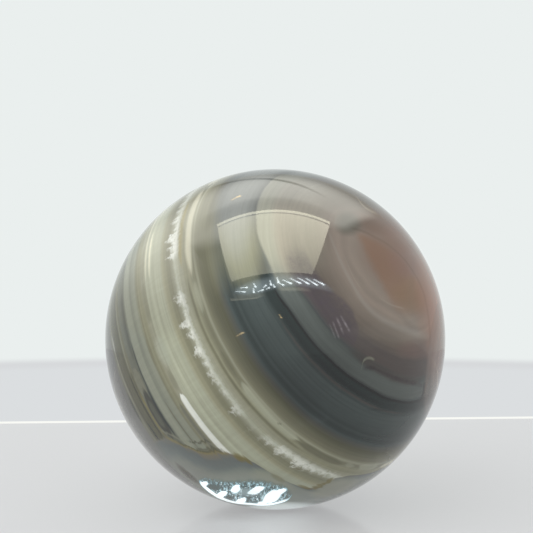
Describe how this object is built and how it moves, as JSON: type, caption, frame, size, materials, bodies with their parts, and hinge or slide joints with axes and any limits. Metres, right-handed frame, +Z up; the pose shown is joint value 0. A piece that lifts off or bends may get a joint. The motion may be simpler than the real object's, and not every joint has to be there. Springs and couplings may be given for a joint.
{
  "type": "agate sphere",
  "caption": "Polished ball of banded agate, solid and round all over, to lie in a ring or cup stand as a desk ornament.",
  "frame": {"origin": "the centre of the ball", "axes": "+Z up as the ball is displayed, -Y towards the side that shows best: the slate and orange-brown heart with its fortification corner; +X to that side's right"},
  "size_m": [0.055, 0.055, 0.055],
  "materials": {
    "agate": "polished"
  },
  "bodies": {
    "root": {"agate_ball": "agate"}
  },
  "joints": []
}
